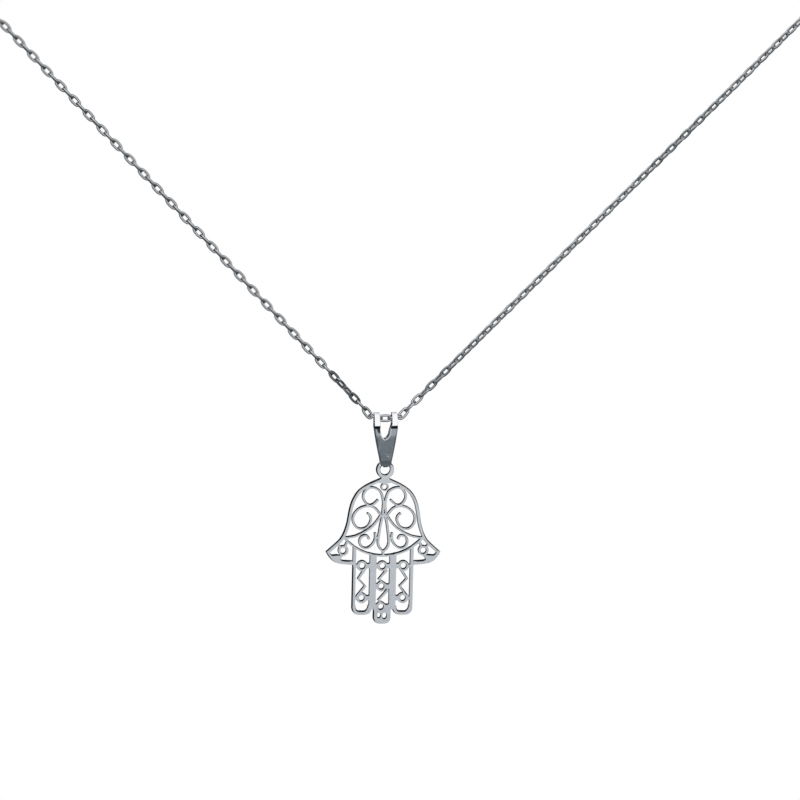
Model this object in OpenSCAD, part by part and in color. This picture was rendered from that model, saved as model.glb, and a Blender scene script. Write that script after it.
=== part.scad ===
// Hamsa pendant on a cable chain: a flat pierced hand hangs by its ring from a split bail,
// and the bail hangs on an oval-link chain that closes with a barrel clasp at the nape.
// The front of the pendant faces -Y. The origin is the middle of the clasp, at the nape.

/* [Chain] */
// Outer length of one oval link
link_length = 2.46; // [2.2:0.02:3.2]
// Outer width of one oval link
link_width = 1.4; // [1.36:0.02:1.8]
// Diameter of the link wire
link_wire = 0.36; // [0.28:0.02:0.38]
// Free play between the wires of two neighbouring links
link_play = 0.14; // [0.1:0.02:0.2]
// Rise in degrees of the link left of the one that the bail hangs on
left_first_rise = 14; // [6:1:14]
// Rise in degrees of the link right of the one that the bail hangs on
right_first_rise = 8; // [6:1:14]
// Bend in degrees to the next link, where the chain leaves the strap
strap_bend = 40; // [35:1:42]
// Rise in degrees of the chain's left leg
left_rise = 47.2; // [42:0.1:50]
// Rise in degrees of the chain's right leg
right_rise = 43.8; // [42:0.1:50]

/* [Neck] */
// How far left of the bail the straight left leg ends
left_span = 65; // [56:1:70]
// How far right of the bail the straight right leg ends
right_span = 69.8; // [60:0.2:74]
// How far behind the pendant the nape lies
nape_depth = 51; // [44:1:60]
// How far above the bail the nape lies
nape_rise = 93; // [86:1:100]
// How far right of the bail the nape lies
nape_shift = 2.4; // [-4:0.2:6]
// Length over which each leg keeps its direction into the turn round the neck
leg_pull = 30; // [24:1:32]
// Length over which the chain runs straight out of the clasp
nape_pull = 40; // [30:1:44]

/* [Clasp] */
// Length of the clasp with both eyes
clasp_length = 11; // [9:0.5:16]
// Diameter of the clasp's barrel
clasp_diameter = 3.2; // [2.6:0.1:4.4]
// Diameter of the eyes' wire
eye_wire = 0.46; // [0.4:0.02:0.6]
// Inner diameter of the eyes
eye_bore = 1.1; // [1:0.05:1.5]

/* [Bail] */
// Width of the bail over both straps
bail_width = 3.8; // [3.7:0.02:4.2]
// Width of each strap where it passes over the chain
strap_width = 0.93; // [0.8:0.01:1.1]
// Distance from the chain's axis to the axis of the pendant ring's wire
bail_drop = 7.19; // [6.6:0.01:9]
// Thickness of the bail's sheet
bail_sheet = 0.25; // [0.2:0.01:0.3]
// Inner radius of the straps over the chain
strap_bore = 0.97; // [0.95:0.01:1.1]
// Inner radius of the fold round the pendant's ring
fold_bore = 0.66; // [0.64:0.01:0.72]
// Width of the tongue that passes through the pendant's ring
tongue_width = 0.56; // [0.4:0.02:0.6]
// Free play under the ring's wire in the fold
fold_play = 0.1; // [0.08:0.01:0.14]

/* [Hamsa] */
// Width of the hand from thumb tip to thumb tip
hand_width = 18.7; // [17:0.1:21]
// Drop from the middle of the ring to the tip of the middle finger
hand_drop = 25; // [23:0.05:28]
// Thickness of the plate
plate_thickness = 0.8; // [0.5:0.05:0.8]
// Width of the hand's outer frame
frame_wire = 0.52; // [0.44:0.02:0.6]
// Width of the scrolls
scroll_wire = 0.37; // [0.3:0.01:0.45]
// Width of the zigzags in the fingers
zigzag_wire = 0.42; // [0.3:0.01:0.45]
// Outer diameter of the ring that the hand hangs by
ring_diameter = 2.88; // [2.8:0.02:3.2]
// Width of that ring's metal
ring_wire = 0.65; // [0.6:0.01:0.68]
// Width of the bars between the fingers
bar_width = 1.08; // [0.9:0.02:1.2]
// Lean in degrees of the hanging hand, towards the left
hand_lean = 1.4; // [0:0.1:3]

/* [Hidden] */
silver = [0.77, 0.78, 0.8];
$fn = 24;

// A link's bows turn about its eyes, and a neighbour's wire lies in each eye.
bow = (link_width - link_wire) / 2;
eye = (link_length - link_wire) / 2 - bow;
reach = eye + bow;
pitch = link_length - 2 * link_wire - link_play;

// The clasp's eyes: the last link's wire and the eye's wire lie link_play apart.
eye_radius = (eye_bore + eye_wire) / 2;
eye_offset = eye_radius - (eye_wire + link_play) / 2;

// Slow turn of the links about the chain's line: how far along a leg in pitches, and degrees.
LEFT_TWIST = [[0, 0], [5, -90], [200, -90]];
RIGHT_TWIST = [[0, 0], [8, 36], [13, 45], [30, 45], [35, 28], [42, 28], [47, 45], [59, 45], [80, 0],
    [200, 0]];

// Hand: points as thousandths of half the width and of the drop, down the right half.
OUTLINE = [[70, 54], [195, 74], [315, 96], [445, 130], [530, 173], [585, 221], [620, 279], [645, 339],
    [690, 398], [760, 449], [870, 489], [1000, 532]];
UNDER = [[1000, 532], [935, 571], [850, 598], [735, 610], [535, 617]];
TOP_SCROLL = [[30, 287], [15, 217], [45, 163], [95, 134], [190, 116], [280, 119], [355, 149], [370, 183],
    [320, 217], [245, 230], [175, 219], [105, 194]];
MIDDLE_SCROLL = [[70, 289], [140, 255], [230, 237], [335, 237], [445, 255], [525, 291], [540, 331], [495, 366],
    [430, 382], [355, 382], [280, 368], [240, 343], [225, 319], [250, 295], [295, 282]];
LOW_SCROLL = [[150, 408], [145, 450], [195, 486], [280, 508], [370, 502], [415, 476], [405, 446], [355, 429],
    [290, 427], [250, 452]];
DROP = [[20, 297], [50, 343], [75, 402], [95, 472], [60, 510], [0, 529]];
BELT = [[680, 444], [495, 502], [285, 540], [0, 558], [-285, 540], [-495, 502], [-680, 444]];
ARCH = [[715, 443], [495, 431], [295, 394], [185, 362], [95, 319], [45, 289]];
SIDE_ZIGZAG = [[315, 646], [424, 708], [303, 756], [440, 823]];
// Rings: place, then outer and inner radius as thousandths of half the width.
RINGS = [[0, 113, 71, 43], [700, 524, 92, 50], [-700, 524, 92, 50], [360, 623, 96, 50], [-360, 623, 96, 50],
    [360, 832, 95, 48], [-360, 832, 95, 48], [-6, 624, 92, 49], [-18, 757, 90, 47], [-18, 889, 90, 46]];
UPPER_ZIGZAG = [[75, 650], [-66, 711], [110, 757]];
LOWER_ZIGZAG = [[100, 779], [-64, 847], [112, 893]];

// Steps in which the turn round the neck is measured.
TURN_STEPS = 48;

half_hand = hand_width / 2;
bar_middle = 0.173 * half_hand;
finger_edge = 0.529 * half_hand;
finger_inner = 0.181 * half_hand;
web_width = 2 * zigzag_wire;
thin_web = 1.2 * zigzag_wire;
// Slits narrower than twice this close where the plate's strokes meet.
closed_slit = 0.045 * zigzag_wire;

// The ring's metal has bevelled corners, and ring_reach is how far they lie from its middle line.
ring_bore = ring_diameter / 2 - ring_wire;
wire_drop = (ring_diameter - ring_wire) / 2;
ring_bevel = 0.27 * ring_wire;
ring_reach = max(norm([ring_wire / 2, plate_thickness / 2 - ring_bevel]),
    norm([ring_wire / 2 - ring_bevel, plate_thickness / 2]));
fold_middle = -bail_drop + fold_bore - fold_play - ring_reach;

function along(table, column, s) = lookup(s, [for (row = table) [row[3], row[column]]]);
function point_at(table, s) = [for (column = [0:2]) along(table, column, s)];

// Adds to each point its distance along the line.
function measured(line) = [for (i = 0, s = 0; i < len(line);
    s = s + (i + 1 < len(line) ? norm(line[i + 1] - line[i]) : 0), i = i + 1) concat(line[i], s)];

function bezier(a, b, c, d, t) = pow(1 - t, 3) * a + 3 * t * pow(1 - t, 2) * b + 3 * t * t * (1 - t) * c
    + pow(t, 3) * d;

// A smooth line through the points, with a few steps between each two.
function smooth(p, steps = 2) = concat([for (i = [0:len(p) - 2], k = [0:steps - 1])
    let (a = p[max(i - 1, 0)], b = p[i], c = p[i + 1], d = p[min(i + 2, len(p) - 1)], t = k / steps)
    0.5 * (2 * b + (c - a) * t + (2 * a - 5 * b + 4 * c - d) * t * t + (3 * b - a - 3 * c + d) * t * t * t)],
    [p[len(p) - 1]]);

function heading(p, i) = let (d = p[min(i + 1, len(p) - 1)] - p[max(i - 1, 0)]) d / norm(d);

// Both sides of a stroke of one width along a line.
function stroke(p, w) = concat(
    [for (i = [0:len(p) - 1]) p[i] + w / 2 * [heading(p, i)[1], -heading(p, i)[0]]],
    [for (i = [len(p) - 1:-1:0]) p[i] - w / 2 * [heading(p, i)[1], -heading(p, i)[0]]]);

function in_hand(shares) = [for (s = shares) [s[0] * half_hand, -s[1] * hand_drop] / 1000];

// One side of the chain: the link in the bail, one over the strap, then the leg and the turn to the nape.
function leg_way(side) = let (a = side < 0 ? left_rise : right_rise) [side * cos(a), 0, sin(a)];
function first_way(side) = let (a = side < 0 ? left_first_rise : right_first_rise)
    [side * cos(a), 0, sin(a)];
function second_way(side) = let (a = strap_bend + (side < 0 ? left_first_rise : right_first_rise))
    [side * cos(a), 0, sin(a)];
function leg_eye(side) = [side * eye, 0, 0] + 2 * reach * first_way(side);
function leg_start(side) = leg_eye(side) + (eye + pitch / 2) * second_way(side);
function leg_end(side) = let (span = side < 0 ? left_span : right_span)
    leg_start(side) + leg_way(side) * (span - abs(leg_start(side)[0])) / abs(leg_way(side)[0]);
function nape_end(side) = [nape_shift + side * clasp_length / 2, nape_depth, nape_rise];
function turn(side, t) = bezier(leg_end(side), leg_end(side) + leg_pull * leg_way(side),
    nape_end(side) + [side * nape_pull, 0, 0], nape_end(side), t);
function run(side) = measured(concat([leg_start(side)],
    [for (i = [0:TURN_STEPS]) turn(side, i / TURN_STEPS)]));
function joints(side) = let (line = run(side), n = floor(line[len(line) - 1][3] / pitch))
    [for (k = [0:n]) point_at(line, k * pitch)];
function roll_of(side, k) = (k % 2 == 0 ? 90 : 0) + lookup(k, side < 0 ? LEFT_TWIST : RIGHT_TWIST);

left_joints = joints(-1);
right_joints = joints(1);

// Puts what lies along X between two points, turned about its own line.
module between(a, b, roll) {
    d = (b - a) / norm(b - a);
    translate((a + b) / 2) rotate([0, -asin(d[2]), atan2(d[1], d[0])]) rotate([roll, 0, 0]) children();
}

// Moves the whole necklace so that the nape is the origin.
module from_nape() {
    translate([-nape_shift, -nape_depth, -nape_rise]) children();
}

module link() {
    rotate([90, 0, 0]) for (side = [0, 180]) rotate([0, 0, side]) {
        translate([eye, 0, 0]) rotate([0, 0, -90]) rotate_extrude(angle = 180) translate([bow, 0])
            circle(d = link_wire);
        translate([-eye, bow, 0]) rotate([0, 90, 0]) cylinder(d = link_wire, h = 2 * eye);
    }
}

module chain_side(side, joints) {
    between([side * eye, 0, 0], leg_eye(side), roll_of(side, -2)) link();
    between(leg_eye(side) - eye * second_way(side), leg_eye(side) + 3 * eye * second_way(side),
        roll_of(side, -1)) link();
    for (k = [0:len(joints) - 2]) between(joints[k], joints[k + 1], roll_of(side, k)) link();
}

module chain_left() {
    color(silver) from_nape() chain_side(-1, left_joints);
}

module chain_right() {
    color(silver) from_nape() {
        link();
        chain_side(1, right_joints);
    }
}

// A plain barrel with an eye at each end, spanning what the two runs leave.
module clasp() {
    a = left_joints[len(left_joints) - 1];
    b = right_joints[len(right_joints) - 1];
    span = norm(b - a);
    barrel = span - 2 * (eye_offset + eye_radius);
    r = clasp_diameter / 2;
    cap = 0.3 * r;
    color(silver) from_nape() between(a, b, 0) {
        rotate([0, 90, 0]) translate([0, 0, -barrel / 2]) rotate_extrude()
            polygon([[0, 0], [0.6 * r, 0], [r, cap], [r, barrel - cap], [0.6 * r, barrel], [0, barrel]]);
        for (side = [-1, 1]) translate([side * (span / 2 - eye_offset), 0, 0])
            rotate([roll_of(side, len(side < 0 ? left_joints : right_joints) - 1), 0, 0])
            rotate([90, 0, 0]) rotate_extrude() translate([eye_radius, 0]) circle(d = eye_wire);
    }
}

// The bail's side view, grown outwards from its inner face by a thickness.
module bail_side(grown) {
    top = strap_bore + grown;
    low = fold_bore + grown;
    knee = -0.2 * bail_drop;
    circle(r = top);
    translate([0, fold_middle]) circle(r = low);
    polygon([[-low, fold_middle], [low, fold_middle], [top, knee], [top, 0], [-top, 0], [-top, knee]]);
}

module bail_front() {
    half = bail_width / 2;
    inner = half - strap_width;
    bottom = -bail_drop - 1.15 * fold_bore;
    right = [[half, 1.4 * strap_bore], [half, -0.2 * bail_drop], [0.925 * half, -0.34 * bail_drop],
        [0.805 * half, -0.54 * bail_drop], [0.635 * half, -0.78 * bail_drop], [0.52 * half, -0.92 * bail_drop],
        [0.44 * half, -bail_drop], [0.37 * half, -bail_drop - 0.53 * fold_bore],
        [0.24 * half, -bail_drop - fold_bore], [0.09 * half, bottom]];
    notch = [[inner, 1.4 * strap_bore], [inner, -0.1 * bail_drop], [0.88 * inner, -0.23 * bail_drop],
        [0.68 * inner, -0.36 * bail_drop], [0.42 * inner, -0.43 * bail_drop],
        [0.15 * inner, -0.455 * bail_drop], [0, -0.46 * bail_drop]];
    difference() {
        polygon(concat(right, [for (i = [len(right) - 1:-1:0]) [-right[i][0], right[i][1]]]));
        polygon(concat(notch, [for (i = [len(notch) - 2:-1:0]) [-notch[i][0], notch[i][1]]]));
    }
}

module bail() {
    tall = 2 * bail_drop;
    color(silver) from_nape() difference() {
        intersection() {
            rotate([90, 0, 90]) linear_extrude(2 * bail_width, center = true) difference() {
                bail_side(bail_sheet);
                bail_side(0);
            }
            rotate([90, 0, 0]) linear_extrude(6 * strap_bore, center = true) bail_front();
        }
        for (side = [-1, 1]) translate([side * (tongue_width + bail_width) / 2, 0, -bail_drop - tall / 2])
            cube([bail_width, 1.88 * fold_bore, tall], center = true);
    }
}

// The neck between the ring and the hand's top.
module neck() {
    top = -ring_bore - ring_wire / 2;
    bottom = -0.075 * hand_drop;
    translate([-0.07 * half_hand, bottom]) square([0.14 * half_hand, top - bottom]);
}

module hand_silhouette() {
    neck();
    right = concat(smooth(in_hand(OUTLINE)), smooth(in_hand(UNDER)));
    polygon(concat(right, [for (i = [len(right) - 1:-1:0]) [-right[i][0], right[i][1]]]));
    for (side = [-1, 1]) finger(side * (finger_edge + finger_inner) / 2, finger_edge - finger_inner, 0.942);
    finger(0, 0.301 * half_hand, 1);
    translate([-0.25 * half_hand, -0.906 * hand_drop]) square([0.5 * half_hand, 0.3 * hand_drop]);
}

// A finger from inside the palm down to its rounded tip, which ends at a share of the hand's drop.
module finger(x, width, drop) {
    r = 0.34 * width;
    top = 0.6 * hand_drop;
    bottom = drop * hand_drop;
    translate([x - width / 2, -bottom + r]) square([width, bottom - top - r]);
    translate([x - width / 2 + r, -bottom]) square([width - 2 * r, bottom - top]);
    for (side = [-1, 1]) translate([x + side * (width / 2 - r), -bottom + r]) circle(r = r);
}

module right_half() {
    polygon(stroke(smooth(in_hand(TOP_SCROLL)), scroll_wire));
    polygon(stroke(smooth(in_hand(MIDDLE_SCROLL)), scroll_wire));
    polygon(stroke(smooth(in_hand(LOW_SCROLL)), scroll_wire));
    polygon(stroke(smooth(in_hand(DROP)), scroll_wire));
    polygon(stroke(smooth(in_hand(ARCH)), scroll_wire));
    polygon(stroke(in_hand(SIDE_ZIGZAG), zigzag_wire));
    // The bar beside the middle finger, the finger's edge above the thumb, and the thumb's heavy lower edge
    translate([bar_middle - bar_width / 2, -0.92 * hand_drop]) square([bar_width, 0.374 * hand_drop]);
    translate([finger_edge - frame_wire, -0.64 * hand_drop]) square([frame_wire, 0.14 * hand_drop]);
    polygon(stroke(smooth(in_hand([[960, 540], [890, 570], [800, 586], [700, 597], [535, 600]])), frame_wire));
    // Webs that tie the rings to the frame and the bar
    for (z = [0.623, 0.832]) {
        translate([bar_middle, -z * hand_drop - web_width / 2]) square([0.18 * half_hand, web_width]);
        translate([0.36 * half_hand, -z * hand_drop - thin_web / 2]) square([0.16 * half_hand, thin_web]);
    }
    polygon(stroke(in_hand([[700, 524], [800, 480]]), scroll_wire));
    polygon(stroke(in_hand([[700, 524], [622, 462]]), scroll_wire));
    polygon(in_hand([[700, 556], [804, 549], [883, 552], [930, 543], [965, 560], [860, 596], [790, 602],
        [750, 584]]));
    polygon(stroke(in_hand([[90, 439], [150, 443]]), scroll_wire));
    polygon(in_hand([[225, 929], [225, 880], [243, 880], [252, 897], [270, 910], [305, 917], [405, 917],
        [437, 911], [457, 900], [468, 882], [490, 880], [490, 929]]));
}

module openwork() {
    difference() {
        intersection() {
            hand_silhouette();
            union() {
                difference() {
                    hand_silhouette();
                    offset(delta = -frame_wire) hand_silhouette();
                }
                neck();
                right_half();
                mirror([1, 0]) right_half();
                polygon(stroke(smooth(in_hand(BELT)), scroll_wire));
                polygon(stroke(in_hand(UPPER_ZIGZAG), zigzag_wire));
                polygon(stroke(in_hand(LOWER_ZIGZAG), zigzag_wire));
                for (z = [0.624, 0.757, 0.889]) translate([-bar_middle, -z * hand_drop - web_width / 2])
                    square([2 * bar_middle, web_width]);
                translate([-0.15 * half_hand, -0.985 * hand_drop]) square([0.3 * half_hand, 0.08 * hand_drop]);
                polygon(in_hand([[-90, 45], [90, 45], [110, 84], [0, 91], [-110, 84]]));
                polygon(stroke(in_hand([[0, 529], [0, 558]]), scroll_wire));
                for (ring = RINGS) translate(in_hand([ring])[0]) circle(r = ring[2] * half_hand / 1000);
                translate(in_hand([[0, 295]])[0]) circle(r = 0.9 * scroll_wire);
            }
        }
        for (ring = RINGS) translate(in_hand([ring])[0]) circle(r = ring[3] * half_hand / 1000);
        translate(in_hand([[-50, 945]])[0]) scale([0.7, 1]) circle(r = 0.046 * half_hand);
        translate(in_hand([[48, 948]])[0]) scale([0.75, 1]) circle(r = 0.052 * half_hand);
    }
}

module ring_section() {
    w = ring_wire / 2;
    h = plate_thickness / 2;
    b = ring_bevel;
    polygon([[w, h - b], [w - b, h], [b - w, h], [-w, h - b],
        [-w, b - h], [b - w, -h], [w - b, -h], [w, b - h]]);
}

module hamsa() {
    color(silver) from_nape() translate([0, 0, -bail_drop]) rotate([0, hand_lean, 0])
        translate([0, 0, -wire_drop]) rotate([90, 0, 0]) {
            linear_extrude(plate_thickness, center = true) difference() {
                offset(delta = -closed_slit) offset(delta = closed_slit) openwork($fn = 16);
                circle(r = (ring_bore + ring_diameter / 2) / 2);
            }
            rotate_extrude($fn = 48) translate([ring_bore + ring_wire / 2, 0]) ring_section();
        }
}

chain_left();
chain_right();
clasp();
bail();
hamsa();
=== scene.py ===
"""Looks of the hamsa necklace: pierced hand, split bail, oval-link chain, and a white studio."""

import math

import bmesh
import bpy
import numpy as np
from mathutils import Matrix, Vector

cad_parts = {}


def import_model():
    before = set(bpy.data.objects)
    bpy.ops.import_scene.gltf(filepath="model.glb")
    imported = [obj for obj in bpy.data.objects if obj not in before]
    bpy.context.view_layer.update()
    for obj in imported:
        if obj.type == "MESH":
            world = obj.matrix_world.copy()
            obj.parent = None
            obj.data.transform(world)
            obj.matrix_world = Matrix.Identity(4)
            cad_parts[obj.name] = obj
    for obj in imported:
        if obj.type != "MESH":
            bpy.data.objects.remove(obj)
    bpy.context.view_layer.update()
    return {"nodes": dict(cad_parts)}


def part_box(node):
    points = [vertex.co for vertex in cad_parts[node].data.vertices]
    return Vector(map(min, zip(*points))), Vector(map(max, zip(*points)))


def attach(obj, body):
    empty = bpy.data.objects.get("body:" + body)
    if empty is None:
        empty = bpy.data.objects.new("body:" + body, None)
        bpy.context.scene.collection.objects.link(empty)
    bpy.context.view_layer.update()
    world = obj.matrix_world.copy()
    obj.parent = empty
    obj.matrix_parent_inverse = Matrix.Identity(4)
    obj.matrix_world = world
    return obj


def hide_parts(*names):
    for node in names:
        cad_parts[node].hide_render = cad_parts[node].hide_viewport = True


MM = 0.001
# Where the straps pass over the chain, in millimetres
BAIL_AXIS = np.array([-2.4, -51.0, -93.0])

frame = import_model()
rng = np.random.default_rng(7)


# Shader helpers


class Tree:
    """Adds nodes to a node tree and joins them in one line each."""

    def __init__(self, tree):
        self.nodes = tree.nodes
        self.links = tree.links
        self.nodes.clear()

    def put(self, socket, value):
        if isinstance(value, bpy.types.NodeSocket):
            self.links.new(value, socket)
        else:
            socket.default_value = value

    def add(self, kind, inputs=None, **settings):
        node = self.nodes.new(kind)
        for name, value in settings.items():
            setattr(node, name, value)
        for name, value in (inputs or {}).items():
            self.put(node.inputs[name], value)
        return node

    def math(self, operation, a, b=None, clamp=False):
        node = self.add("ShaderNodeMath", operation=operation, use_clamp=clamp)
        self.put(node.inputs[0], a)
        if b is not None:
            self.put(node.inputs[1], b)
        return node.outputs[0]

    def ramp(self, value, stops):
        """Straight lines through (value, grey) stops."""
        low, high = stops[0][0], stops[-1][0]
        share = self.math("DIVIDE", self.math("SUBTRACT", value, low), high - low, clamp=True)
        node = self.add("ShaderNodeValToRGB", {"Fac": share})
        elements = node.color_ramp.elements
        while len(elements) > 1:
            elements.remove(elements[0])
        for i, (at, grey) in enumerate(stops):
            element = elements[0] if i == 0 else elements.new((at - low) / (high - low))
            element.position = (at - low) / (high - low)
            element.color = (grey, grey, grey, 1)
        return node.outputs["Color"]

    def mix(self, share, a, b):
        node = self.add("ShaderNodeMix", data_type="RGBA")
        self.put(node.inputs[0], share)
        self.put(node.inputs[6], a)
        self.put(node.inputs[7], b)
        return node.outputs[2]


# Materials


SILVER = (0.915, 0.925, 0.955)
CHAIN_SILVER = (0.90, 0.92, 0.945)
PLATE_SILVER = (0.875, 0.888, 0.92)
# Painted shade: a near-black silver for the bail's rim and rounded edges
BAIL_EDGE_SHADE = (0.05, 0.055, 0.065)
WHITE = (1, 1, 1, 1)
# Colours of the painted shade that darkens the chain's wires and the plate's edges, seen straight on and at
# a low angle, and of the bail's dark marks: a band of painted shade and a dark streak
PAINTED_SHADE_COLOR = (0.012, 0.019, 0.025, 1)
PAINTED_SHADE_GRAZING = (0.06, 0.06, 0.06, 1)
BAND_SHADE_AND_STREAK = (0.016, 0.018, 0.022, 1)
DULL = 0.86
BUMP_HEIGHT = 0.004


def silver(name, color, roughness, shade_and_streak=None, painted_shade=False, edge=WHITE):
    """Polished silver: uneven polish, hairline scratches and small pits.

    A mask function, if given, adds its dark marks and scuffs; if asked, a value on each vertex of the mesh
    darkens the metal as painted shade;
    and edge is its colour seen at a low angle.
    """
    material = bpy.data.materials.new(name)
    material.use_nodes = True
    t = Tree(material.node_tree)
    place = t.add("ShaderNodeTexCoord").outputs["Object"]

    def noise(scale, detail=2.0, stretch=(1, 1, 1), turn=(0, 0, 0)):
        where = t.add("ShaderNodeMapping", {"Vector": place, "Scale": stretch, "Rotation": turn})
        inputs = {"Vector": where.outputs[0], "Scale": scale, "Detail": detail}
        return t.add("ShaderNodeTexNoise", inputs).outputs["Fac"]

    swell = noise(350)
    cloud = noise(1400, 3.0)
    scratch = noise(2500, 1.0, (1, 1, 0.03), (0.3, 0.9, 0.2))
    hair = noise(3600, 1.0, (0.04, 1, 1), (0.1, -0.5, 0.4))
    pit = t.add("ShaderNodeTexVoronoi", {"Vector": place, "Scale": 2600.0}).outputs["Distance"]

    lines = t.math("ADD", t.ramp(scratch, [(0.0, 0), (0.64, 0), (0.72, 1), (1.0, 1)]),
                   t.ramp(hair, [(0.0, 0), (0.66, 0), (0.74, 1), (1.0, 1)]))
    pits = t.ramp(pit, [(0.0, 1), (0.05, 1), (0.11, 0), (1.0, 0)])
    rough = t.math("ADD", roughness, t.math("MULTIPLY", t.math("SUBTRACT", cloud, 0.4), 0.16))
    rough = t.math("ADD", rough, t.math("MULTIPLY", lines, 0.08), clamp=True)
    height = t.math("ADD", swell, t.math("MULTIPLY", lines, -0.012))
    height = t.math("SUBTRACT", height, t.math("MULTIPLY", pits, 0.03))
    bump = t.add("ShaderNodeBump", {"Height": height, "Strength": 1.0, "Distance": BUMP_HEIGHT * MM})

    dull = [c * DULL for c in color]
    base = t.mix(t.math("MULTIPLY", cloud, 0.35, clamp=True), (*color, 1), (*dull, 1))
    grazing = edge
    # Painted shade: where the mesh asks for it, the base and low-angle colours darken to near black
    if painted_shade:
        share = t.add("ShaderNodeAttribute", attribute_name="painted_shade").outputs["Fac"]
        uneven = t.math("ADD", 0.85, t.math("MULTIPLY", cloud, 0.3))
        share = t.math("MULTIPLY", share, uneven, clamp=True)
        base = t.mix(share, base, PAINTED_SHADE_COLOR)
        grazing = t.mix(share, grazing, PAINTED_SHADE_GRAZING)
        rough = t.math("ADD", rough, t.math("MULTIPLY", share, 0.12), clamp=True)
    # The mask's band is painted shade and its streak a dark mark, both mixed into the base colour
    if shade_and_streak:
        mask, scuff = shade_and_streak(t, place, cloud)
        rough = t.math("ADD", rough, t.math("MULTIPLY", scuff, 0.3))
        base = t.mix(mask, base, BAND_SHADE_AND_STREAK)
        rough = t.math("ADD", rough, t.math("MULTIPLY", mask, 0.3), clamp=True)
    shader = t.add("ShaderNodeBsdfPrincipled", {"Base Color": base, "Metallic": 1.0, "Roughness": rough,
                                                "Specular Tint": grazing, "Normal": bump.outputs[0]})
    out = t.add("ShaderNodeOutputMaterial")
    t.links.new(shader.outputs[0], out.inputs["Surface"])
    return material


STREAK_SLOPE = 0.29
STREAK_SIDE = 1.34


def bail_marks(t, place, cloud):
    """Marks on the bail's front, as (dark, scuff).

    A band of painted shade crosses the straps. A dark streak lies under it on the left strap's inner edge. A
    small pale scuff lies above the fold. Distances are in millimetres from the bail's axis.
    """
    axes = t.add("ShaderNodeSeparateXYZ", {"Vector": place}).outputs

    def from_axis(i):
        return t.math("SUBTRACT", t.math("DIVIDE", axes[i], MM), float(BAIL_AXIS[i]))

    side, depth, drop = from_axis(0), from_axis(1), from_axis(2)
    front = t.ramp(depth, [(-3, 1), (-0.3, 1), (0.2, 0), (3, 0)])
    wavy = t.math("ADD", drop, t.math("MULTIPLY", t.math("SUBTRACT", cloud, 0.5), 0.12))
    # Painted shade: a dark band across both straps
    band = t.ramp(wavy, [(-2.5, 0), (-1.55, 0), (-1.48, 1), (-1.15, 1), (-1.09, 0), (0, 0)])
    slant = t.math("ADD", side, STREAK_SIDE + STREAK_SLOPE * 1.5)
    slant = t.math("ADD", slant, t.math("MULTIPLY", drop, STREAK_SLOPE))
    across = t.ramp(slant, [(-2, 0), (-0.28, 0), (-0.14, 1), (0.2, 1), (0.34, 0), (2, 0)])
    along = t.ramp(drop, [(-4, 0), (-2.4, 0), (-2.12, 0.9), (-1.5, 0.97), (-1.4, 0), (0, 0)])
    streak = t.math("MULTIPLY", across, along)
    across = t.ramp(side, [(-1, 0), (0.0, 0), (0.2, 1), (0.42, 1), (0.58, 0), (1, 0)])
    along = t.ramp(wavy, [(-7, 0), (-6.16, 0), (-6.09, 1), (-6.03, 1), (-5.96, 0), (-5, 0)])
    scuff = t.math("MULTIPLY", across, along)
    dark = t.math("MULTIPLY", t.math("MAXIMUM", band, streak), front)
    return dark, t.math("MULTIPLY", scuff, front)


# Meshes


def arrays(node):
    """Welded vertices in millimetres, and triangles, of a CAD node."""
    mesh = frame["nodes"][node].data
    co = np.empty(len(mesh.vertices) * 3)
    mesh.vertices.foreach_get("co", co)
    mesh.calc_loop_triangles()
    tri = np.empty(len(mesh.loop_triangles) * 3, np.int32)
    mesh.loop_triangles.foreach_get("vertices", tri)
    co = co.reshape(-1, 3) / MM
    rounded_off = np.round(co * 1e4).astype(np.int64)
    _, first, same = np.unique(rounded_off, axis=0, return_index=True, return_inverse=True)
    return co[first], same.reshape(-1)[tri].reshape(-1, 3)


def put_mesh(name, vertices, faces, material, normals, painted_shade):
    """A mesh object from vertices in millimetres, with a normal and a painted-shade value for each."""
    mesh = bpy.data.meshes.new(name)
    mesh.from_pydata((np.asarray(vertices) * MM).tolist(), [], faces)
    mesh.validate()
    mesh.shade_smooth()
    mesh.normals_split_custom_set_from_vertices(np.asarray(normals).tolist())
    values = mesh.attributes.new("painted_shade", "FLOAT", "POINT").data
    values.foreach_set("value", np.asarray(painted_shade, np.float32))
    mesh.materials.append(material)
    obj = bpy.data.objects.new(name, mesh)
    bpy.context.scene.collection.objects.link(obj)
    return obj


def place(obj, body, slot, node):
    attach(obj, body)
    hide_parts(node)


# Chain


def links_of(node):
    """Middle and axes (along, across, through) of each link in a chain node, in order along X."""
    co, tri = arrays(node)
    label = np.arange(len(co))
    while True:
        new = label.copy()
        np.minimum.at(new, tri.ravel(), np.repeat(label[tri].min(1), 3))
        new = new[new]
        if (new == label).all():
            break
        label = new
    found = []
    for one in np.unique(label):
        p = co[label == one]
        _, axes = np.linalg.eigh(np.cov((p - p.mean(0)).T))
        axes = axes[:, ::-1].T
        axes[0] *= 1 if axes[0] @ (0.9, 0.3, 0.2) > 0 else -1
        axes[1] *= 1 if axes[1] @ (0.2, -0.7, 0.6) > 0 else -1
        axes[2] = np.cross(axes[0], axes[1])
        s = p @ axes.T
        found.append(((s.max(0) + s.min(0)) / 2 @ axes, axes))
    return sorted(found, key=lambda link: link[0][0])


# How dark the painted shade at the corners of a link's wire is, for each leg
CORNER_PAINTED_SHADE = {"chain_left": 0.82, "chain_right": 0.66}
LINK_LENGTH = 2.46
LINK_WIDTH = 1.27
LINK_WIRE = 0.385
# The oval's exponent, and the wire section's: 2 is round, and more is squarer
OVAL = 2.45
WIRE_SQUARE = 3.0
# Steps round the link and round its wire
AROUND = 38
SECTION = 20
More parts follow.
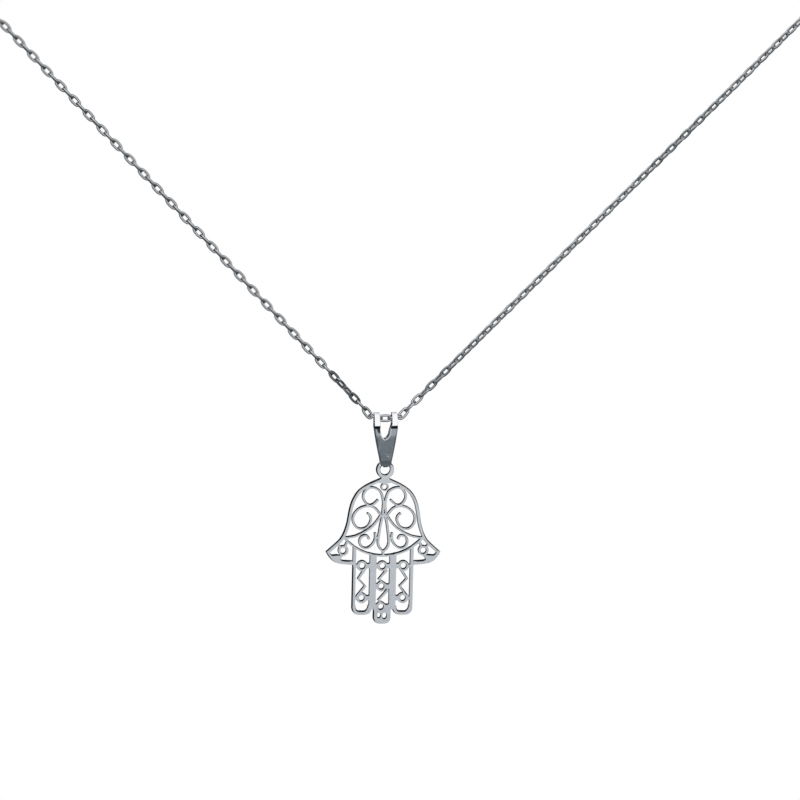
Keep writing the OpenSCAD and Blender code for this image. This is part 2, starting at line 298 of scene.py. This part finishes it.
# Length and height of the faint swelling at the solder joint
SEAM_LENGTH = 0.13
SEAM_SWELL = 0.07
# The links roll more with their distance from the bail, from the first distance to the second
NEAR_BAIL = 10
FAR_FROM_BAIL = 18


def power(values, exponent):
    """The power of each value's size, with its sign kept."""
    return np.sign(values) * np.abs(values) ** exponent


def oval_line(step_count):
    """Middle line of a link's wire in even steps, and the distance along it at each step."""
    turn = np.linspace(0, 2 * math.pi, 4000, endpoint=False)
    fine = np.stack([(LINK_LENGTH - LINK_WIRE) / 2 * power(np.cos(turn), 2 / OVAL),
                     (LINK_WIDTH - LINK_WIRE) / 2 * power(np.sin(turn), 2 / OVAL)], 1)
    step = np.linalg.norm(np.roll(fine, -1, 0) - fine, axis=1)
    along = np.concatenate([[0], np.cumsum(step)])
    want = np.arange(step_count) / step_count * along[-1]
    closed = np.vstack([fine, fine[:1]])
    line = np.stack([np.interp(want, along, closed[:, i]) for i in (0, 1)], 1)
    return line, want, along[-1]


def link_ring():
    """One oval link in its own axes: vertices, quads and normals.

    The last two are how far each vertex faces the next link, and how near it is to a corner of the wire.
    """
    line, at, length_round = oval_line(AROUND)
    way = np.roll(line, -1, 0) - np.roll(line, 1, 0)
    way /= np.linalg.norm(way, axis=1)[:, None]
    out = np.stack([way[:, 1], -way[:, 0]], 1)
    seam = np.exp(-((at - 0.25 * length_round) / SEAM_LENGTH) ** 2)
    radius = LINK_WIRE / 2 * (1 + SEAM_SWELL * seam)
    v = np.arange(SECTION) / SECTION * 2 * math.pi
    c, s = np.cos(v), np.sin(v)

    def section_arrow(exponent):
        a, b = power(c, exponent), power(s, exponent)
        return np.concatenate([out[:, None] * a[None, :, None],
                               np.broadcast_to(b[None, :, None], (AROUND, SECTION, 1))], 2)

    normals = section_arrow(2 - 2 / WIRE_SQUARE)
    normals /= np.linalg.norm(normals, axis=2)[:, :, None]
    spread = section_arrow(2 / WIRE_SQUARE)
    middle = np.concatenate([line, np.zeros((AROUND, 1))], 1)
    vertices = middle[:, None] + radius[:, None, None] * spread
    i, j = np.meshgrid(np.arange(AROUND), np.arange(SECTION), indexing="ij")
    a, b = (i + 1) % AROUND, (j + 1) % SECTION
    quads = np.stack([i * SECTION + j, a * SECTION + j, a * SECTION + b, i * SECTION + b], -1)
    inner = np.clip(-c, 0, 1)[None, :] * (0.2 + 0.8 * np.abs(line[:, :1]) / (LINK_LENGTH / 2)) ** 2
    corner = np.broadcast_to(np.clip(1.7 * np.abs(2 * c * s) - 0.05, 0, 1)[None, :], inner.shape)
    return (vertices.reshape(-1, 3), quads.reshape(-1, 4), normals.reshape(-1, 3),
            inner.reshape(-1), corner.reshape(-1))


def chain(node, material):
    vertices, quads, normals, inner, corner = link_ring()
    # Painted shade: each wire darkens where it faces the next link and along its corners
    dark = np.maximum(inner, CORNER_PAINTED_SHADE[node] * corner)
    all_v, all_q, all_n = [], [], []
    for k, (middle, axes) in enumerate(links_of(node)):
        from_bail = np.linalg.norm(middle - BAIL_AXIS)
        away = np.clip((from_bail - NEAR_BAIL) / (FAR_FROM_BAIL - NEAR_BAIL), 0, 1)
        roll = math.radians(float(np.clip(rng.normal(-2 - 4 * away, 2.5), -9, 3)))
        c, s = math.cos(roll), math.sin(roll)
        turn = np.array([[1, 0, 0], [0, c, -s], [0, s, c]])
        all_v.append(vertices @ turn.T @ axes + middle)
        all_n.append(normals @ turn.T @ axes)
        all_q.append(quads + k * len(vertices))
    obj = put_mesh(node + "_links", np.concatenate(all_v), np.concatenate(all_q).tolist(), material,
                   np.concatenate(all_n), np.tile(dark, len(all_v)))
    place(obj, "necklace", "chain_silver", node)


# Hamsa


def section_loops(node, y):
    """Closed lines where the plane at that y cuts a node, in (x, z)."""
    co, tri = arrays(node)
    mesh = bpy.data.meshes.new("cut")
    mesh.from_pydata(co.tolist(), [], tri.tolist())
    bm = bmesh.new()
    bm.from_mesh(mesh)
    bpy.data.meshes.remove(mesh)
    cut = bmesh.ops.bisect_plane(bm, geom=bm.verts[:] + bm.edges[:] + bm.faces[:], dist=1e-6,
                                 plane_co=(0, y, 0), plane_no=(0, 1, 0), clear_inner=True, clear_outer=True)
    edges = [e for e in cut["geom_cut"] if isinstance(e, bmesh.types.BMEdge)]
    beside = {}
    for e in edges:
        a, b = e.verts[0].index, e.verts[1].index
        beside.setdefault(e.verts[0], []).append(e.verts[1])
        beside.setdefault(e.verts[1], []).append(e.verts[0])
    loops, left = [], set(beside)
    while left:
        start = min(left, key=lambda v: tuple(v.co))
        loop, last, here = [], None, start
        while here in left:
            left.discard(here)
            loop.append((here.co.x, here.co.z))
            onward = [v for v in beside[here] if v in left and v is not last]
            last = here
            if not onward:
                break
            here = onward[0]
        if len(loop) > 5:
            loops.append(np.array(loop))
    bm.free()
    return loops


def area(loop):
    x, z = loop.T
    return 0.5 * np.sum(x * np.roll(z, -1) - np.roll(x, -1) * z)


def rounded(loop, step, blur):
    """The loop with even steps and its corners rounded off."""
    closed = np.vstack([loop, loop[:1]])
    along = np.concatenate([[0], np.cumsum(np.linalg.norm(np.diff(closed, axis=0), axis=1))])
    count = max(16, int(round(along[-1] / step)))
    want = np.arange(count) / count * along[-1]
    p = np.stack([np.interp(want, along, closed[:, i]) for i in (0, 1)], 1)
    waves = np.fft.fftfreq(count, along[-1] / count) * 2 * math.pi
    keep = np.exp(-0.5 * (waves * blur) ** 2)
    keep = keep * (2 - keep)
    return np.stack([np.fft.ifft(np.fft.fft(p[:, i]) * keep).real for i in (0, 1)], 1)


def inward(loop):
    way = np.roll(loop, -1, 0) - np.roll(loop, 1, 0)
    way /= np.linalg.norm(way, axis=1)[:, None]
    return np.stack([-way[:, 1], way[:, 0]], 1)


def room(points, normals):
    """Radius of the largest circle inside the metal that touches its edge at each point."""
    result = np.full(len(points), 9.0)
    for start in range(0, len(points), 400):
        rows = slice(start, start + 400)
        d = points[None] - points[rows, None]
        ahead = np.einsum("ijk,ik->ij", d, normals[rows])
        far = np.einsum("ijk,ijk->ij", d, d)
        with np.errstate(divide="ignore", invalid="ignore"):
            r = np.where((ahead > 1e-3) & (far > 0.02), far / (2 * ahead), 9.0)
        result[rows] = r.min(1)
    return result


RING_RADIUS = 1.44
# Points nearer than this to the ring's middle belong to the ring
RING_REACH = 1.6
# Width of the rounded edge: least, on edges that face left, up, up on the ring, and up to the lamp
EDGE = 0.03
EDGE_LEFT = 0.12
EDGE_UP = 0.21
EDGE_UP_RING = 0.14
EDGE_LAMP = 0.06
# Depth of the rounded edge into the plate, and its width and depth where the ring turns in the bail's fold
EDGE_RISE = 0.06
FOLD_EDGE = 0.23
FOLD_RISE = 0.16
# The back's edge is narrower than the front's
BACK_SHARE = 0.75
# Angles of the rounded edge from the flat face to the cut wall
EDGE_TURNS = [90, 76, 50, 25, 4]
# The painted shadow spot on the ring beside the fold: degrees from the top and their spread, distance from
# the middle and half width
SHADOW_SPOT = (40, 10, 1.2, 0.45)


def facing(normals, way, start, spread):
    """How far each edge faces a way, 0 up to start and 1 from start plus spread. normals point inward."""
    return np.clip((-normals @ way - start) / spread, 0, 1)


def edge_shape(points, normals, outside):
    """Width and depth of the rounded edge, and how dark its wall's painted shade and the painted shadow spot
    over its whole edge are, at each point.
    """
    offset = points - ring_middle()
    from_middle = np.linalg.norm(offset, axis=1)
    on_ring = from_middle < RING_REACH
    left = facing(normals, (-1, 0), 0.3, 0.5) * np.where(outside, 1, 0.25)
    up = facing(normals, (0.3, 0.95), 0.3, 0.5)
    lamp = facing(normals, (0.5, 0.87), 0.8, 0.15) * outside
    in_fold = np.clip((1.0 - np.abs(offset[:, 0])) / 0.15, 0, 1) * (offset[:, 1] > 0) * on_ring
    edge_up = np.where(on_ring, EDGE_UP_RING, EDGE_UP)
    width = EDGE + np.maximum(EDGE_LEFT * left, edge_up * up) + EDGE_LAMP * lamp
    width = np.maximum(width, FOLD_EDGE * in_fold)
    most = 0.35 + 0.5 * np.maximum.reduce([left, up, in_fold])
    width = np.minimum(width, most * room(points, normals))
    at, spread, radius, half_width = SHADOW_SPOT
    beside_fold = np.degrees(np.arctan2(offset[:, 0], offset[:, 1]))
    shadow_spot = np.exp(-((beside_fold - at) / spread) ** 2) * (np.abs(from_middle - radius) < half_width)
    # Painted shade: the cut walls go darker, most on edges facing up and on the outline's left, less in the
    # fold
    wall_shade = (0.55 + 0.45 * np.maximum(up, left * outside)) * (1 - 0.6 * in_fold)
    return width, EDGE_RISE + FOLD_RISE * in_fold, wall_shade, shadow_spot


def ring_middle():
    """Middle of the ring that the hand hangs by, in (x, z), a ring's radius below the node's top."""
    low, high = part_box("hamsa")
    return np.array([BAIL_AXIS[0] - 0.02, high.z / MM - RING_RADIUS])


def flat_faces(outline, lines, toward_front):
    """Triangles that fill the outline with its holes, as rows of its point numbers."""
    bm = bmesh.new()
    flat = [bm.verts.new((x, 0, z)) for x, _, z in outline]
    for i, v in enumerate(flat):
        v.index = i
    edges = [bm.edges.new((flat[a], flat[b])) for a, b in lines]
    filled = bmesh.ops.triangle_fill(bm, use_beauty=True, use_dissolve=False, edges=edges, normal=(0, -1, 0))
    faces = []
    for f in filled["geom"]:
        if isinstance(f, bmesh.types.BMFace):
            ids = [v.index for v in f.verts]
            faces.append(ids if (f.normal.y < 0) == toward_front else ids[::-1])
    bm.free()
    return faces


def hamsa(material):
    """The pierced plate, built on the CAD node's outline at its middle plane, with rounded cut edges."""
    y_middle = BAIL_AXIS[1]
    low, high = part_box("hamsa")
    half = (high.y - low.y) / MM / 2
    loops = [rounded(loop, 0.07, 0.1) for loop in section_loops("hamsa", y_middle)]
    loops.sort(key=lambda loop: -abs(area(loop)))
    loops = [loop if (area(loop) > 0) == (i == 0) else loop[::-1] for i, loop in enumerate(loops)]
    points = np.concatenate(loops)
    normals = np.concatenate([inward(loop) for loop in loops])
    outside = np.arange(len(points)) < len(loops[0])
    width, rise, wall_shade, shadow_spot = edge_shape(points, normals, outside)
    starts = np.cumsum([0] + [len(loop) for loop in loops])
    for a, b in zip(starts[:-1], starts[1:]):
        lowest = np.minimum.reduce([np.roll(width[a:b], k) for k in range(-2, 3)])
        width[a:b] = np.mean([np.roll(lowest, k) for k in range(-3, 4)], 0)
    turns = np.radians(EDGE_TURNS)
    back_width = BACK_SHARE * width
    rings = [(width * (1 - np.cos(t)), -half + rise * (1 - np.sin(t)), t, -1) for t in turns]
    rings += [(back_width * (1 - np.cos(t)), half - rise * (1 - np.sin(t)), t, 1) for t in turns[::-1]]
    vertices, shades, painted_shade = [], [], []
    for inset, y, t, side in rings:
        # Painted shade on the rounded edge and wall, and the painted shadow spot on the ring
        painted_shade.append(np.maximum(wall_shade * (t < turns[0]), shadow_spot))
        p = points + normals * inset[:, None]
        vertices.append(np.stack([p[:, 0], y_middle + y, p[:, 1]], 1))
        n = -normals * math.cos(t)
        shades.append(np.stack([n[:, 0], np.full(len(p), side * math.sin(t)), n[:, 1]], 1))
    count = len(points)
    here = np.arange(count)
    following = np.concatenate([np.roll(np.arange(a, b), -1) for a, b in zip(starts[:-1], starts[1:])])
    faces = []
    for k in range(len(rings) - 1):
        near, far = k * count, (k + 1) * count
        faces += np.stack([here + near, here + far, following + far, following + near], 1).tolist()
    lines = list(zip(here, following))
    faces += flat_faces(vertices[0], lines, True)
    last = (len(rings) - 1) * count
    faces += [[i + last for i in face] for face in flat_faces(vertices[-1], lines, False)]
    obj = put_mesh("hamsa_lace", np.concatenate(vertices), faces, material, np.concatenate(shades),
                   np.concatenate(painted_shade))
    place(obj, "hamsa", "hamsa_silver", "hamsa")


# Bail

# Half width of the sheet and of the notch between the straps, as (height, width) above the bail's axis
HALF_WIDTH = [(-9.0, 0.28), (-7.9, 0.28), (-7.84, 0.34), (-7.72, 0.54), (-7.54, 0.73), (-7.19, 0.87),
              (-6.9, 0.93), (-6.61, 0.985), (-5.61, 1.195), (-3.88, 1.53), (-2.44, 1.757),
              (-1.44, 1.895), (2.0, 1.9)]
NOTCH = [(-9.0, 0.0), (-3.30, 0.0), (-3.27, 0.13), (-3.20, 0.24), (-3.05, 0.37), (-2.59, 0.66),
         (-1.65, 0.85), (-0.719, 0.97), (2.0, 0.97)]
# How far the notch lies to the left at each height
NOTCH_LEAN = [(-5.0, 0.0), (-3.3, 0.16), (-1.9, 0.16), (-1.1, 0.0)]
# How much narrower each strap is at the back
BACK_INSET = 0.15
SHEET = 0.25
SHEET_EDGE = 0.035
# Outer radius and middle height of the crown over the chain and of the fold round the ring
CROWN_RADIUS = 1.12
CROWN = -0.16
FOLD_RADIUS = 0.91
FOLD = -7.057
# The front face from the fold up to the crown, as (distance in front of the axis, height)
FRONT_LINE = [(0.91, FOLD), (0.925, -6.8), (1.095, -2.85), (1.10, -2.72), (1.102, -2.66), (1.138, -1.56),
              (1.146, -1.50), (1.195, -1.17), (1.20, -1.10), (1.192, -1.0)]
BACK_LINE = [(0.91, FOLD), (1.12, -1.44)]
LINE_STEP = 0.1
# Quads across each strap
COLUMNS = 5


def arc(radius, middle, angles):
    return [(radius * math.cos(a), middle + radius * math.sin(a)) for a in np.radians(angles)]


def dense(line):
    """The line with its own points kept and more put between them, LINE_STEP or more apart."""
    points = []
    for (f, z), (g, w) in zip(line[:-1], line[1:]):
        steps = max(1, int(math.hypot(f - g, z - w) / LINE_STEP))
        points += [(f + (g - f) * k / steps, z + (w - z) * k / steps) for k in range(steps)]
    return points + [line[-1]]


def bail_line():
    """The bail's outer face seen from the side, from the fold's bottom up the front and over to the back."""
    front = arc(FOLD_RADIUS, FOLD, range(-90, 0, 6)) + FRONT_LINE
    front += arc(CROWN_RADIUS, CROWN, range(5, 91, 5))
    back = arc(FOLD_RADIUS, FOLD, range(-84, 0, 6)) + BACK_LINE
    back += arc(CROWN_RADIUS, CROWN, range(0, 86, 5))
    return np.array([(-f, z) for f, z in dense(front)] + [(f, z) for f, z in dense(back)[::-1]])


def bail(material, edge_material):
    """The split strip as a grid, thickened inward to a sheet, with its cut edges rounded."""
    line = bail_line()
    count = len(line)
    widths = np.interp(line[:, 1], *zip(*HALF_WIDTH))
    inner = np.interp(line[:, 1], *zip(*NOTCH))
    rear = BACK_INSET * np.clip(line[:, 0] / 0.8, 0, 1)
    widths = widths - rear * np.clip((widths - 0.5) / 0.5, 0, 1)
    inner = inner + rear * np.clip(inner / 0.4, 0, 1)
    lean = np.interp(line[:, 1], *zip(*NOTCH_LEAN))
    share = np.linspace(0, 1, COLUMNS + 1)
    bm = bmesh.new()
    for side in (-1, 1):
        start = inner - side * lean
        grid = []
        for k in range(count):
            across = [side * (start[k] + (widths[k] - start[k]) * s) for s in share]
            grid.append([bm.verts.new((x, line[k, 0], line[k, 1])) for x in across])
        for k in range(count):
            m = (k + 1) % count
            for i in range(COLUMNS):
                quad = [grid[k][i], grid[k][i + 1], grid[m][i + 1], grid[m][i]]
                bm.faces.new(quad if side > 0 else quad[::-1])
    bmesh.ops.remove_doubles(bm, verts=bm.verts, dist=1e-4)
    for v in bm.verts:
        v.co = (v.co.x + BAIL_AXIS[0], v.co.y + BAIL_AXIS[1], v.co.z + BAIL_AXIS[2])
        v.co *= MM
    bmesh.ops.recalc_face_normals(bm, faces=bm.faces)
    mesh = bpy.data.meshes.new("bail_sheet")
    bm.to_mesh(mesh)
    bm.free()
    mesh.materials.append(material)
    mesh.materials.append(edge_material)
    obj = bpy.data.objects.new("bail_sheet", mesh)
    bpy.context.scene.collection.objects.link(obj)
    sheet = obj.modifiers.new("sheet", "SOLIDIFY")
    sheet.thickness = SHEET * MM
    sheet.offset = -1
    # Painted shade: the rim and the rounded edges take the second material, a near-black silver
    sheet.material_offset_rim = 1
    edge = obj.modifiers.new("edge", "BEVEL")
    edge.width = SHEET_EDGE * MM
    edge.segments = 3
    edge.limit_method = "ANGLE"
    edge.angle_limit = math.radians(50)
    edge.material = 1
    shade = obj.modifiers.new("shade", "WEIGHTED_NORMAL")
    shade.weight = 100
    mesh.shade_smooth()
    place(obj, "bail", "bail_silver", "bail")


# Studio


# Brightness that the metal mirrors, as (degrees above the horizon, grey)
AHEAD = [(-90, 0.12), (-40, 0.12), (-16, 0.10), (-13.0, 0.098), (-11.5, 0.27), (-10.7, 0.46), (-9.9, 0.54),
         (-7.5, 0.62), (-3, 0.82), (1, 1.0), (60, 1.0), (80, 0.95), (90, 0.9)]
REAR = [(-90, 0.34), (-50, 0.34), (-14, 0.42), (-8, 0.36), (-3, 0.16), (2, 0.04), (13, 0.04), (20, 0.4),
        (30, 0.5), (50, 0.75), (90, 0.9)]
# How cool its light is at each height
COOL = [(-90, 0.6), (-13, 1), (-9, 0.25), (-2, 0), (90, 0)]
# Share of the light from ahead, as (degrees to the right of straight ahead, share)
AHEAD_SHARE = [(-180, 0), (-62, 0.0), (-42, 0.3), (-28, 1), (80, 1), (105, 0.1), (120, 0), (180, 0)]
# A black flag to the right, by its degrees to the right and its height
FLAG_SIDE = [(-180, 0), (24, 0), (38, 1), (95, 1), (110, 0), (180, 0)]
FLAG_HEIGHT = [(-90, 0), (6, 0), (14, 1), (44, 1), (56, 0), (90, 0)]
FLAG = (0.04, 0.04, 0.04, 1)
WARM_TINT = (0.99, 0.995, 1.0, 1)
COOL_TINT = (0.84, 1.0, 1.09, 1)
LIGHT = 1.06
FLOOR_DROP = -0.3


def world():
    """A white room seen directly. In the metal, the front of the room is white above and dark below, with a
    black flag to the right, and its rear is grey with a dark strip just above the horizon."""
    scene = bpy.context.scene
    scene.world = bpy.data.worlds.new("studio")
    scene.world.use_nodes = True
    t = Tree(scene.world.node_tree)
    way = t.add("ShaderNodeTexCoord").outputs["Generated"]
    x, y, z = t.add("ShaderNodeSeparateXYZ", {"Vector": way}).outputs
    height = t.math("MULTIPLY", t.math("ARCSINE", z), 180 / math.pi)
    bearing = t.math("MULTIPLY", t.math("ARCTAN2", x, t.math("MULTIPLY", y, -1.0)), 180 / math.pi)
    light = t.mix(t.ramp(bearing, AHEAD_SHARE), t.ramp(height, REAR), t.ramp(height, AHEAD))
    flag = t.math("MULTIPLY", t.ramp(bearing, FLAG_SIDE), t.ramp(height, FLAG_HEIGHT))
    light = t.math("MULTIPLY", t.mix(flag, light, FLAG), LIGHT)
    tint = t.mix(t.ramp(height, COOL), WARM_TINT, COOL_TINT)
    shown = t.add("ShaderNodeBackground", {"Color": WHITE, "Strength": 1.0})
    mirrored = t.add("ShaderNodeBackground", {"Color": tint, "Strength": light})
    pick = t.add("ShaderNodeMixShader", {"Fac": t.add("ShaderNodeLightPath").outputs["Is Camera Ray"]})
    t.links.new(mirrored.outputs[0], pick.inputs[1])
    t.links.new(shown.outputs[0], pick.inputs[2])
    out = t.add("ShaderNodeOutputWorld")
    t.links.new(pick.outputs[0], out.inputs["Surface"])
    scene.view_settings.view_transform = "Standard"


def studio():
    """A pale round floor and one soft lamp overhead."""
    bm = bmesh.new()
    bmesh.ops.create_circle(bm, cap_ends=True, segments=128, radius=0.5)
    mesh = bpy.data.meshes.new("floor")
    bm.to_mesh(mesh)
    bm.free()
    material = bpy.data.materials.new("pale_floor")
    material.use_nodes = True
    t = Tree(material.node_tree)
    shader = t.add("ShaderNodeBsdfPrincipled", {"Base Color": (0.9, 0.9, 0.9, 1), "Roughness": 0.8})
    t.links.new(shader.outputs[0], t.add("ShaderNodeOutputMaterial").inputs["Surface"])
    mesh.materials.append(material)
    floor = bpy.data.objects.new("floor", mesh)
    floor.location = (0, -0.03, FLOOR_DROP)
    bpy.context.scene.collection.objects.link(floor)
    floor.visible_glossy = False
    lamp = bpy.data.lights.new("overhead", "AREA")
    lamp.shape = "DISK"
    lamp.size = 0.9
    lamp.energy = 14
    light = bpy.data.objects.new("overhead", lamp)
    light.location = (-0.1, -0.1, 0.9)
    bpy.context.scene.collection.objects.link(light)
    light.visible_glossy = False
    light.visible_camera = False


# Camera: its axes, its distance, and the width and middle of what it sees, in millimetres
RIGHT = np.array([0.9848, -0.1736, 0.0])
TOWARD = np.array([-0.1724, -0.9775, 0.1219])
UP = np.array([0.0212, 0.1200, 0.9926])
DISTANCE = 800.0
VIEW_WIDTH = 128.3
TARGET = BAIL_AXIS + 2.406 * RIGHT + 2.903 * UP
SENSOR = 36


def camera():
    """The photo looks from a little to the left and above, from afar."""
    lens = bpy.data.cameras.new("camera")
    lens.sensor_width = SENSOR
    lens.lens = SENSOR * DISTANCE / VIEW_WIDTH
    lens.clip_start = 0.05
    obj = bpy.data.objects.new("camera", lens)
    turn = Matrix([list(RIGHT), list(UP), list(TOWARD)]).transposed().to_4x4()
    turn.translation = ((TARGET + DISTANCE * TOWARD) * MM).tolist()
    obj.matrix_world = turn
    bpy.context.scene.collection.objects.link(obj)
    bpy.context.scene.camera = obj


# Put together

chain_silver = silver("chain_silver_looks", CHAIN_SILVER, 0.06, painted_shade=True)
clasp_silver = silver("clasp_silver_looks", SILVER, 0.08)
bail_silver = silver("bail_silver_looks", SILVER, 0.045, shade_and_streak=bail_marks)
# Painted shade: a near-black copy of the silver for the bail's rim and rounded edges
bail_edge_shade = silver("bail_edge_looks", BAIL_EDGE_SHADE, 0.3, edge=(0.12, 0.12, 0.12, 1))
hamsa_silver = silver("hamsa_silver_looks", PLATE_SILVER, 0.07, painted_shade=True)

chain("chain_left", chain_silver)
chain("chain_right", chain_silver)
hamsa(hamsa_silver)
bail(bail_silver, bail_edge_shade)
clasp = frame["nodes"]["clasp"]
clasp.data.materials.clear()
clasp.data.materials.append(clasp_silver)

world()
studio()
camera()
